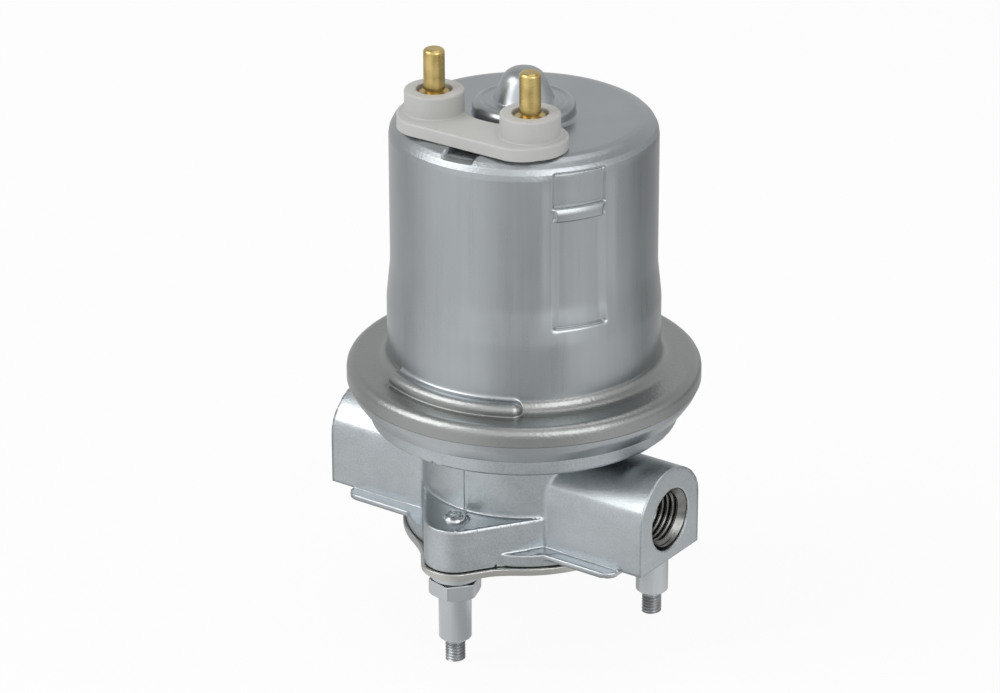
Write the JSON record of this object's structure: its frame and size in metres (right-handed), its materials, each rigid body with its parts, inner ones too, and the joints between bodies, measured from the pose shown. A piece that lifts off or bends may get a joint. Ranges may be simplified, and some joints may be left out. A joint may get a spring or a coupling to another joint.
{
  "type": "inline electric fuel pump",
  "caption": "Inline electric fuel pump: stamped steel motor can clamped on a die-cast rotor pump body with two threaded ports, two terminal posts and shouldered mounting studs.",
  "frame": {"origin": "on the motor's axis, in the plane of the bottom cover's underside", "axes": "+Z along the motor towards the terminals, +X out of the outlet port, -X out of the inlet port, -Y the side that carries the terminals and the front stud"},
  "size_m": [0.0906, 0.0846, 0.1487],
  "materials": {
    "stamped_steel": "satin zinc plate",
    "die_casting": "as cast, bright",
    "plated_steel": "zinc plated",
    "brass": "turned",
    "nylon": "moulded, matt",
    "phenolic": "moulded",
    "rubber": "smooth",
    "ground_steel": "ground",
    "sintered_steel": "sintered",
    "core_steel": "stacked laminations",
    "ferrite": "pressed ceramic magnet",
    "copper": "enamelled wire and bare copper bars",
    "bronze": "oiled sintered bronze",
    "carbon": "pressed carbon",
    "spring_steel": "drawn wire"
  },
  "bodies": {
    "housing": {"motor_can": "stamped_steel", "clamp_ring": "stamped_steel", "seat_gasket": "rubber", "pump_body": "die_casting", "cover_gasket": "rubber", "bottom_cover": "plated_steel", "mounting_stud_front": "plated_steel", "mounting_stud_right": "plated_steel", "cover_screw": "plated_steel", "terminal_insulator": "nylon", "inner_insulator": "nylon", "terminal_post_left": "brass", "terminal_post_right": "brass", "terminal_seals": "rubber", "contact_strap_left": "brass", "contact_strap_right": "brass", "brush_carrier": "phenolic", "brush_spring_left": "spring_steel", "brush_spring_right": "spring_steel", "field_magnets": "ferrite", "magnet_clip": "plated_steel", "upper_bearing": "bronze", "bearing_retainer": "plated_steel", "thrust_button": "nylon", "lower_bearing": "bronze", "shaft_seal": "rubber", "upper_port_plate": "die_casting", "lower_port_plate": "die_casting", "rotor_ring": "sintered_steel", "plate_o_ring": "rubber", "relief_spring": "spring_steel", "relief_plug": "brass"},
    "armature": {"shaft": "ground_steel", "armature_core": "core_steel", "windings": "copper", "commutator_hub": "phenolic", "commutator_bars": "copper", "drive_pin": "ground_steel", "inner_rotor": "sintered_steel", "thrust_washer": "nylon"},
    "rotor_outer": {"outer_rotor": "sintered_steel"},
    "brush_l": {"brush_left": "carbon"},
    "brush_r": {"brush_right": "carbon"},
    "poppet": {"relief_poppet": "brass"}
  },
  "joints": [
    {"name": "armature_spin", "type": "hinge", "parent": "housing", "child": "armature", "pos_m": [0, 0, 0], "axis": [0, 0, 1], "continuous": true},
    {"name": "outer_rotor_spin", "type": "hinge", "parent": "housing", "child": "rotor_outer", "pos_m": [0, 0.0013, 0], "axis": [0, 0, 1], "continuous": true},
    {"name": "brush_left_slide", "type": "slide", "parent": "housing", "child": "brush_l", "axis": [0, 0, 1], "range_m": [0, 0.003], "stiffness_N_per_m": 200, "springref_m": -0.004, "deforming": ["brush_spring_left"]},
    {"name": "brush_right_slide", "type": "slide", "parent": "housing", "child": "brush_r", "axis": [0, 0, 1], "range_m": [0, 0.003], "stiffness_N_per_m": 200, "springref_m": -0.004, "deforming": ["brush_spring_right"]},
    {"name": "relief_poppet_lift", "type": "slide", "parent": "housing", "child": "poppet", "axis": [0, 0, 1], "range_m": [0, 0.002], "stiffness_N_per_m": 400, "springref_m": -0.002, "deforming": ["relief_spring"]}
  ],
  "couplings": [
    {"joint": "outer_rotor_spin", "follows": "armature_spin", "ratio": 0.85714}
  ]
}
